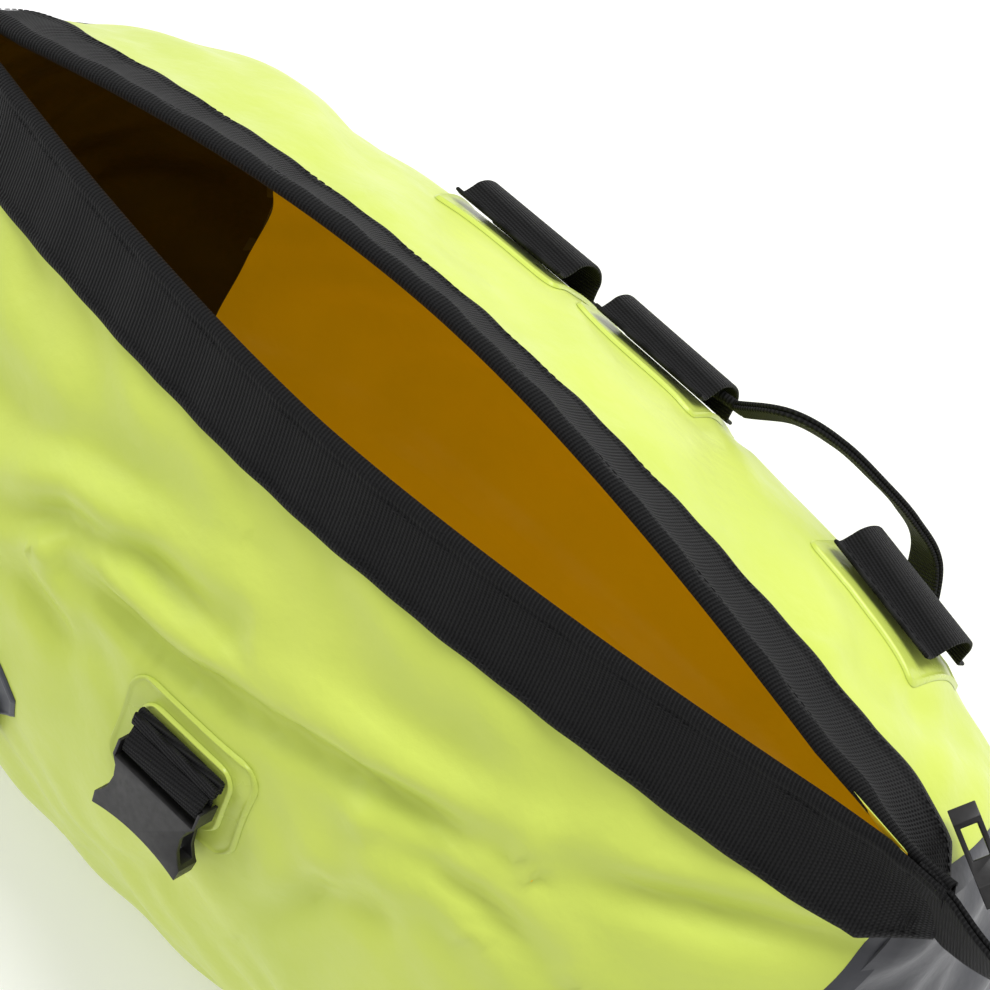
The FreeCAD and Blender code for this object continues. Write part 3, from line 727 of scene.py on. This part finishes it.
def lip_points(side, x, out, drop):
    """Points beside the lip: drop is measured down the skin, and is negative above the lip."""
    wanted, out, drop = np.broadcast_arrays(x, out, drop)
    x = np.clip(wanted, -LIP_END_X, LIP_END_X)
    top = bare(side, x, np.full(x.shape, LIP_V))
    lower = bare(side, x, np.full(x.shape, UNDER_LIP_V))
    rate = (LIP_V - UNDER_LIP_V) / np.linalg.norm(top - lower, axis=-1)
    down = np.maximum(drop, 0.0)
    points = bare(side, x, LIP_V - down * rate, out)
    points += unit(top - lower) * np.maximum(-drop, 0.0)[..., None]
    points[..., 0] += wanted - x
    beyond = np.clip((np.abs(wanted) - LIP_END_X) / (BAND_END_X - LIP_END_X), 0, 1)
    points[..., 1] *= 1 - 0.85 * beyond * (down > 0.004)
    points[..., 2] += 0.16 * beyond * down
    return points


def band_section():
    """Outline of a folded band as (out, drop) pairs, and the distance round it at each."""
    far, near = 0.0030, 0.0016
    inside, inside_far = -0.0016, -0.0031
    outer = []
    for drop in np.linspace(BAND_DROP, 0.0016, 26):
        out = far
        out += 0.00035 if drop > BAND_DROP - 0.0030 else 0.0
        out -= 0.00045 * math.exp(-((drop - 0.0042) / 0.0006) ** 2)
        out -= 0.00025 * math.exp(-((drop - BAND_DROP + 0.0034) / 0.0005) ** 2)
        outer.append((out, drop))
    outer[0] = (far - 0.0004, BAND_DROP)
    top = [(0.0027, 0.0004), (0.0019, -0.0007), (0.0007, -0.0014), (-0.0006, -0.0015),
           (-0.0018, -0.0009), (-0.0027, 0.0001), (-0.0031, 0.0014)]
    inner = [(inside_far, d) for d in np.linspace(0.0030, BAND_TURN - 0.0004, 5)]
    back = [(inside, BAND_TURN), (inside, 0.004), (inside, 0.0), (near, 0.0), (near, 0.004),
            (near, BAND_DROP * 0.5), (near, BAND_DROP)]
    pairs = np.array(outer + top + inner + back)
    return pairs, distance_run(pairs)


def pressed(x):
    """How far a band is pressed flat: 1 along the mouth, less where the two bands meet."""
    share = np.clip((np.abs(x) - 0.190) / 0.040, 0, 1)
    return 1 - 0.42 * share * share * (3 - 2 * share)


def stacked(rings, side):
    """Stations moved sideways so that each lies on its own side of the mouth's line."""
    least = (side * rings[..., 1]).min(axis=1)
    shift = np.maximum(0.0001 - least, 0.0)
    moved = rings.copy()
    moved[..., 1] += side * shift[:, None]
    return moved, shift


def lip_band(side, name, cad_node):
    """Webbing folded over one lip, with its raised lower selvedge and its groove."""
    pairs, across = band_section()
    x = np.linspace(-BAND_END_X, BAND_END_X, 460)
    wave = 0.00025 * np.sin(x * 130 + side) + 0.00020 * np.sin(x * 291)
    out = pairs[None, :, 0] * pressed(x)[:, None]
    out = out + wave[:, None] * (pairs[None, :, 0] > 0.002)
    rings, _ = stacked(lip_points(side, x[:, None], out, pairs[None, :, 1]), side)
    piece = tube(name, rings, [webbing], "bag")
    middle = lip_points(side, x, 0.003, 0.010)
    run = distance_run(middle)
    set_weave(piece, np.repeat(run, len(pairs)), np.tile(across, len(x)))
    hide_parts(cad_node)


def band_stitching(side, name):
    """Two rows of stitches along a band: by its lower edge and just under the lip."""
    x = np.linspace(-BAND_END_X + 0.004, BAND_END_X - 0.004, 320)
    pairs, _ = band_section()
    out = pairs[None, :, 0] * pressed(x)[:, None]
    _, shift = stacked(lip_points(side, x[:, None], out, pairs[None, :, 1]), side)
    rows = {"low": (0.0034, BAND_DROP - 0.0018), "top": (0.0029, 0.0056)}
    for row, (lift, drop) in rows.items():
        path = lip_points(side, x, lift * pressed(x), drop)
        up = lip_points(side, x, lift * pressed(x) + 0.001, drop) - path
        path[:, 1] += side * shift
        piece = stitches("%s_%s" % (name, row), path, up, "bag", lean=0.25)


def stiffener(side, cad_node):
    """Plastic strip between a band and its wall."""
    drop = np.linspace(.003, .021, 12)[:, None]
    x = np.linspace(-.192, .192, 160)[None, :]
    strip = fabric_slab(cad_node + "_strip", lip_points(side, x, .0012, drop),
                        lip_points(side, x, .0004, drop), [plastic])
    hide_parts(cad_node)


wall(FRONT, "wall_front", "front_panel")
wall(BACK, "wall_back", "back_panel")
for side_name, sign in (("left", -1), ("right", 1)):
    end(sign, "end_" + side_name, "end_panel_" + side_name)
    seam_tape(FRONT, sign, "seam_front_" + side_name)
    seam_tape(BACK, sign, "seam_back_" + side_name)
floor_cloth()
guard = refined("base_layer", "base_guard", charcoal, "bag", 0.0005)
lip_band(FRONT, "band_front", "front_lip_band")
lip_band(BACK, "band_back", "back_lip_band")
band_stitching(FRONT, "band_stitching_front")
band_stitching(BACK, "band_stitching_back")
lining_hem()

stiffener(FRONT, "front_lip_stiffener")
stiffener(BACK, "back_lip_stiffener")


# ---------------------------------------------------------------- frames on the bag

def skin_frame(side, x, z):
    """Origin, across, down and outward directions of the surface at a place on a long side."""
    v = v_of_height(side, x, z)
    origin = bare(side, x, v)
    across = unit(bare(side, x + .004, v) - bare(side, x - .004, v))
    down = bare(side, x, v - .01) - bare(side, x, v + .01)
    down = unit(down - across * across.dot(down))
    out = np.cross(down, across)
    if out[1] * side < 0:
        out = -out
    return origin, across, down, out


CLIP_BAR = np.array([.2493, .0164, .2422])
CLIP_ACROSS = unit(np.array([.19, -.36, .926]))
CLIP_ALONG = np.array([-.877, .36, .318])


def clip_frame(sign):
    """Bar, across, along and out of the clip at one mouth end."""
    along = unit(CLIP_ALONG - CLIP_ACROSS * CLIP_ACROSS.dot(CLIP_ALONG))
    out = np.cross(CLIP_ACROSS, along)
    mirror = np.array([sign, 1, 1])
    return [d * mirror for d in (CLIP_BAR, CLIP_ACROSS, along, out)]


def front_clip_frame():
    """Bar, across, along and out of the front clip, which stands a little off the wall."""
    origin, across, down, out = skin_frame(FRONT, PATCH_X, PATCH_Z + .001)
    tilt = math.radians(4)
    along = down * math.cos(tilt) + out * math.sin(tilt)
    return origin + out * .0072, across, along, np.cross(along, across)


def laid(name, flat_path, frame_on_bag, width, body, cad_node, count=60, thick=WEBBING):
    """Strap drawn as (along, out) pairs in a frame on the bag, its width across that frame."""
    origin, across, along, out = frame_on_bag
    pairs, _ = smooth_path(flat_path, count)
    path = origin + pairs[:, :1] * along + pairs[:, 1:] * out
    piece = strap(name, path, np.broadcast_to(across, path.shape), width, thick, body)
    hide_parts(cad_node)


# ---------------------------------------------------------------- clips and their webbing

def loop_path(length):
    """Webbing from its sewn end, round a clip's bar and back, as (along, out) pairs."""
    inner = .0018 + .0003 + WEBBING / 2
    legs = [(-length, WEBBING / 2 + .0001), (-.62 * length, WEBBING / 2 + .0007),
            (-.3 * length, inner - .0005), (0, inner)]
    reach = .0016 + .0006 + WEBBING / 2
    turn = []
    for t in np.radians(np.linspace(90, -90, 11))[1:-1]:
        turn.append((.0016 + reach * math.cos(t) ** .6,
                     math.copysign(inner * abs(math.sin(t)) ** .6, math.sin(t))))
    return legs + turn + [(y, -z) for y, z in reversed(legs)]


def folded_anchor():
    """Webbing folded three times and sewn through the front patches."""
    low = .0024 - .0072 + .0014 + WEBBING / 2 + .0001
    step = .0017
    near, far = -.0072, -.0113
    path = []
    for layer in range(3):
        z = low + layer * step
        ends = (near, far) if layer % 2 == 0 else (far, near)
        path += [(ends[0], z), (ends[1], z)]
        if layer < 2:
            path.append((ends[1] + (.0007 if ends[1] == near else -.0007), z + step / 2))
    laid("front_anchor", path, front_clip_frame(), .040, "bag", "front_clip_anchor", 70)


def add_tail(sign, name, cad_node):
    """Two layers of webbing that run on from the bands and curl round to the clip's loop."""
    bar, across, along, _ = clip_frame(1)
    end_point = bar - along * .0206
    places = [(.228, -.0008, .2505), (.236, -.0008, .2500), (.246, -.0011, .2465),
              (.256, -.0014, .2450), (.267, .0012, .2400)]
    path, _ = smooth_path([*places, end_point - along * .0045 + (.0005, -.0015, .0006),
                           end_point], 60)
    share = np.linspace(0, 1, len(path))[:, None]
    turn = np.clip(share * 1.7 - .5, 0, 1)
    wides = np.array([0, 0, 1.0]) * (1 - turn) + across * turn
    ahead = unit(np.gradient(path, axis=0))
    aside = unit(np.cross(ahead, wides))
    mirror = np.array([sign, 1, 1])
    for layer, shift in (("front", .00105), ("back", -.00105)):
        piece = strap("%s_%s" % (name, layer), (path + aside * shift) * mirror, wides * mirror,
                      .0325 - .001 * (layer == "back"), .0019, "bag", ruled=True)
        if layer == "front":
            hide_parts(cad_node)


for part, body in (("front_clip_socket", "front_clip"), ("mouth_clip_socket", "mouth_clip_right"),
                   ("mouth_clip_plug", "mouth_clip_left"),
                   ("mouth_clip_prong_upper", "prong_upper"),
                   ("mouth_clip_prong_lower", "prong_lower")):
    moulded = refined(part + "_moulded", part, plastic, body, .0006)

laid("front_clip_webbing", loop_path(.006), front_clip_frame(), CLIP_WEBBING, "front_clip",
     "front_clip_loop")
folded_anchor()
for side_name, sign in (("left", -1), ("right", 1)):
    laid("mouth_clip_webbing_" + side_name, loop_path(.020), clip_frame(sign), CLIP_WEBBING,
         "mouth_clip_" + side_name, "mouth_clip_loop_" + side_name)
    add_tail(sign, "tail_" + side_name, "mouth_tail_" + side_name)


# ---------------------------------------------------------------- patches, rear loops, handle

def welded_patch(name, side, x, z, size, low, cad_node, corner=.004):
    """Thin welded patch with rounded corners and a raised weld line inside its edge."""
    _, _, down, _ = skin_frame(side, x, z)
    v_middle = v_of_height(side, x, z)
    v_step = (v_of_height(side, x, z - .010) - v_middle) / (.010 / max(-down[2], .5))
    t = np.sin(np.linspace(-90, 90, 61) * math.pi / 180)[:, None]
    s = np.linspace(-1, 1, 61)[None, :]
    half_z = size[1] / 2
    round_share = np.clip((np.abs(t) * half_z - half_z + corner) / corner, 0, 1)
    half_x = size[0] / 2 - corner + corner * np.sqrt(1 - round_share ** 2)
    from_edge = np.minimum((1 - np.abs(s)) * half_x, (1 - np.abs(t)) * half_z)
    weld = .00075 * np.exp(-((from_edge - .0011) / .0006) ** 2)
    edge = np.clip(from_edge / .0004, 0, 1)
    lift = low + PATCH_THICK * edge + weld * edge
    xs = x + s * half_x
    v = v_middle + v_step * t * half_z
    xs, v = np.broadcast_arrays(xs, v)
    piece = fabric_slab(name, skin(side, xs, v, lift), skin(side, xs, v, low - .00005), [film])
    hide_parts(cad_node)


def rear_loop(name, x):
    """Wide webbing loop that arches off the back, with a row of stitches on each tab."""
    low = PATCH_THICK + .0007 + WEBBING / 2
    tab = LOOP_HALF + .009
    path = [(-tab, low), (-LOOP_HALF - .003, low)]
    for turn in np.radians(np.linspace(165, 15, 9)):
        path.append((LOOP_HALF * math.cos(turn), low + (LOOP_RISE - low) * math.sin(turn) ** .8))
    path += [(LOOP_HALF + .003, low), (tab, low)]
    origin, across, down, out = skin_frame(BACK, x, REAR_Z)
    laid("loop_" + name, path, (origin, across, down, out), LOOP_WEBBING, "bag",
         "rear_loop_" + name, 80)
    for row, place in (("upper", -tab + .004), ("lower", tab - .004)):
        xs = np.linspace(-.022, .022, 30)[:, None]
        line = origin + xs * across + place * down + (low + WEBBING / 2 + .0001) * out
        made = stitches("loop_%s_stitching_%s" % (name, row), line,
                        np.broadcast_to(out, line.shape), "bag")


HANDLE_END_X = .136
HANDLE_END_Z = .140
HANDLE_PATH = [(.080, .107, .218), (.095, .115, .208), (.108, .121, .193), (.119, .1265, .176),
               (.129, .128, .159)]


def handle():
    """Double webbing strap that arches from the inner loop round behind the outer one."""
    origin, _, _, out = skin_frame(BACK, REAR_LOOPS["inner_right"] + LOOP_WEBBING / 2 + .006,
                                   REAR_Z)
    start = origin + out * .008
    origin, across, down, out = skin_frame(BACK, HANDLE_END_X, HANDLE_END_Z)
    finish_at = origin + out * .008
    path, run = smooth_path([start, *HANDLE_PATH, finish_at], 110)
    share = (run / run[-1])[:, None]
    wides = np.concatenate([.9 * share, np.full_like(share, -.25), 1 - .8 * share], 1)
    width = .008 + .010 * np.clip(1.3 * share[:, 0], 0, 1)
    ahead = unit(np.gradient(path, axis=0))
    aside = unit(np.cross(ahead, wides))
    for layer, shift in (("outer", .0009), ("inner", -.0009)):
        piece = strap("handle_" + layer, path + aside * shift, wides, width, .0017,
                      "rear_handle", start=shift)
        if layer == "outer":
            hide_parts("rear_handle")
    root, _ = smooth_path([start - (.022, .0035, .001), start - (.010, .001, .0),
                           start + (.001, .0002, 0)], 20)
    stub = strap("handle_root", root, np.broadcast_to(wides[0], root.shape), .0062, .0034, "bag")
    flat = [(.0100, .0090), (.0135, .0066), (.0145, .0036), (.0180, .0019), (.0300, .0017)]
    laid("handle_tab", flat, (origin, across, down, out), .026, "bag", "rear_handle_anchor", 40,
         thick=.0024)


CORNER_WIDE = .168           # x of the corner patch's wide end, and of its tip
CORNER_TIP = .066


def corner_patch():
    """Charcoal reinforcement on the lower front corner, its rounded point to the middle."""
    middle = v_of_height(FRONT, .100, .116)
    t = np.linspace(-1, 1, 61)[:, None]
    s = np.linspace(0, 1, 81)[None, :]
    reach = CORNER_WIDE - CORNER_TIP
    xs = -(CORNER_WIDE - reach * s) + 0 * t
    half = .012 + .15 * (1 - s ** 1.5)
    v = middle + t * half - .05 * (1 - s)
    from_edge = np.minimum((1 - np.abs(t)) * half * .30, np.minimum(s, 1 - s) * reach)
    rim = .0004 * np.exp(-((from_edge - .0016) / .0007) ** 2)
    edge = np.clip(from_edge / .0005, 0, 1)
    outer = skin(FRONT, xs, v, .0003 + .0008 * edge + rim * edge)
    piece = fabric_slab("corner_patch", outer, skin(FRONT, xs, v, .0001), [corner_cloth])
    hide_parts("front_corner_patch")


def corner_loop():
    """Small webbing loop sewn to the corner patch."""
    origin, across, down, out = skin_frame(FRONT, -.092, .100)
    low = .0003 + .0008 + .0003 + WEBBING / 2
    rise = [(-.018, 0), (-.012, 0), (-.009, .0034), (-.0045, .0078), (0, .0090), (.0045, .0078),
            (.009, .0034), (.012, 0), (.018, 0)]
    laid("corner_webbing", [(y, low + z) for y, z in rise], (origin, down, across, out), .025,
         "bag", "front_corner_loop", 60)


welded_patch("patch_front_large", FRONT, PATCH_X, PATCH_Z, (.060, .046), LIFT,
             "front_patch_outer", corner=.010)
welded_patch("patch_front_small", FRONT, PATCH_X, PATCH_Z, (.044, .032), .0011,
             "front_patch_inner", corner=.008)
for loop_name, loop_x in REAR_LOOPS.items():
    welded_patch("patch_" + loop_name, BACK, loop_x, REAR_Z, (.058, .058), LIFT,
                 "rear_patch_" + loop_name)
    rear_loop(loop_name, loop_x)
handle()
corner_patch()
corner_loop()


# ---------------------------------------------------------------- floor, light and camera

def add_floor():
    size = 6.0
    vertices = [(-size, -size, 0), (size, -size, 0), (size, size, 0), (-size, size, 0)]
    floor = make_piece("floor", vertices, [[0, 1, 2, 3]], [plain_floor()], None)


def add_light(name, place, aim, size, power):
    lamp = bpy.data.lights.new(name, "AREA")
    lamp.shape = "DISK"
    lamp.size = size
    lamp.energy = power
    holder = bpy.data.objects.new(name, lamp)
    bpy.context.scene.collection.objects.link(holder)
    holder.location = place
    holder.rotation_mode = "QUATERNION"
    holder.rotation_quaternion = (Vector(place) - Vector(aim)).to_track_quat("Z", "Y")


def add_world():
    world = bpy.data.worlds.new("studio")
    bpy.context.scene.world = world
    world.use_nodes = True
    sky = world.node_tree.nodes["Background"]
    sky.inputs["Color"].default_value = (1.0, 1.0, 1.0, 1.0)
    sky.inputs["Strength"].default_value = 0.60


CAMERA_AZIMUTH = 45.3        # degrees, round from the front towards +X
CAMERA_ELEVATION = 62.0
CAMERA_LENS = 137.3          # mm on a 36 mm sensor
CAMERA_DISTANCE = 1.198


def add_camera():
    azimuth, elevation = math.radians(CAMERA_AZIMUTH), math.radians(CAMERA_ELEVATION)
    back = Vector((math.sin(azimuth) * math.cos(elevation),
                   -math.cos(azimuth) * math.cos(elevation), math.sin(elevation)))
    target = Vector((0.048, -0.002, 0.2639))
    data = bpy.data.cameras.new("camera")
    data.lens = CAMERA_LENS
    data.sensor_width = 36.0
    camera = bpy.data.objects.new("camera", data)
    bpy.context.scene.collection.objects.link(camera)
    camera.location = target + back * CAMERA_DISTANCE
    camera.rotation_mode = "QUATERNION"
    camera.rotation_quaternion = (-back).to_track_quat("-Z", "Y")
    bpy.context.scene.camera = camera


add_floor()
add_world()
add_light("key", (0.30, 0.75, 2.1), (0, 0, 0.1), 1.2, 34.0)
add_light("fill", (-1.7, -0.9, 1.5), (0, 0, 0.1), 1.6, 9.0)
add_camera()
bpy.context.scene.view_settings.view_transform = "Standard"
